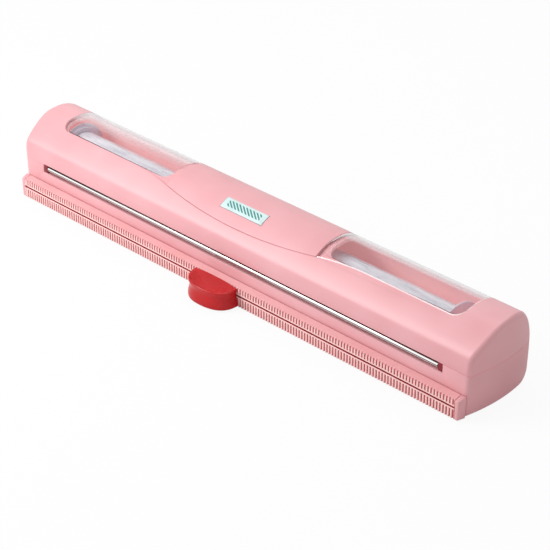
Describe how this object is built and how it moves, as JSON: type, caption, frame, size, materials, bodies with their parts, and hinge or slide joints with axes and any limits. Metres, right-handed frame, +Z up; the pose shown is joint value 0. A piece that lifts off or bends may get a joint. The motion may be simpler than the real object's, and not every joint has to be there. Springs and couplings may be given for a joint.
{
  "type": "cling film dispenser",
  "caption": "Long pink cling film dispenser with a hinged windowed lid, a film roll on end hubs, a guide rod and a sliding cutter on a ribbed front rail.",
  "frame": {"origin": "on the surface the part stands on, in the middle of its footprint", "axes": "+X along the length towards the picture's right end, -Y towards the cutter rail and its knob, +Z up"},
  "size_m": [0.3806, 0.0776, 0.0521],
  "materials": {
    "pink_plastic": "moulded plastic, soft satin sheen",
    "pink_rail_plastic": "moulded plastic with fine upright ribs",
    "clear_plastic": "clear polished plastic",
    "label": "pale mint printed plate without lettering",
    "chromed_steel": "polished",
    "dark_red_plastic": "satin",
    "red_plastic": "glossy moulded plastic",
    "film": "wound cling film, white with faint wrinkles",
    "paper_board": "wound grey-brown board",
    "hub_plastic": "satin lavender grey",
    "blade_steel": "ground edge",
    "pin_steel": "drawn wire",
    "foot_rubber": "matte pad"
  },
  "bodies": {
    "base": {"base_casing": "pink_plastic", "cutter_rail": "pink_rail_plastic", "rail_cap_left": "pink_rail_plastic", "rail_cap_right": "pink_rail_plastic", "rod_bush_left": "dark_red_plastic", "rod_bush_right": "dark_red_plastic", "hinge_pin_left": "pin_steel", "hinge_pin_right": "pin_steel", "foot_left_front": "foot_rubber", "foot_left_back": "foot_rubber", "foot_right_front": "foot_rubber", "foot_right_back": "foot_rubber"},
    "lid": {"lid_shell": "pink_plastic", "window_pane_left": "clear_plastic", "window_pane_right": "clear_plastic", "centre_panel": "pink_plastic", "label_plate": "label"},
    "rod": {"guide_rod": "chromed_steel"},
    "roll": {"film_roll": "film", "core_tube": "paper_board", "roll_hub_left": "hub_plastic", "roll_hub_right": "hub_plastic"},
    "slider": {"slider_knob": "red_plastic", "blade_carrier": "red_plastic", "cutter_blade": "blade_steel"}
  },
  "joints": [
    {"name": "lid_hinge", "type": "hinge", "parent": "base", "child": "lid", "pos_m": [0, 0.0361, 0.0268], "axis": [-1, 0, 0], "range_deg": [0, 100]},
    {"name": "cutter_slide", "type": "slide", "parent": "base", "child": "slider", "axis": [1, 0, 0], "range_m": [-0.1625, 0.1655]},
    {"name": "rod_spin", "type": "hinge", "parent": "base", "child": "rod", "pos_m": [0, -0.0161, 0.024], "axis": [1, 0, 0], "continuous": true},
    {"name": "roll_spin", "type": "hinge", "parent": "base", "child": "roll", "pos_m": [0, 0.0097, 0.0278], "axis": [1, 0, 0], "continuous": true}
  ]
}
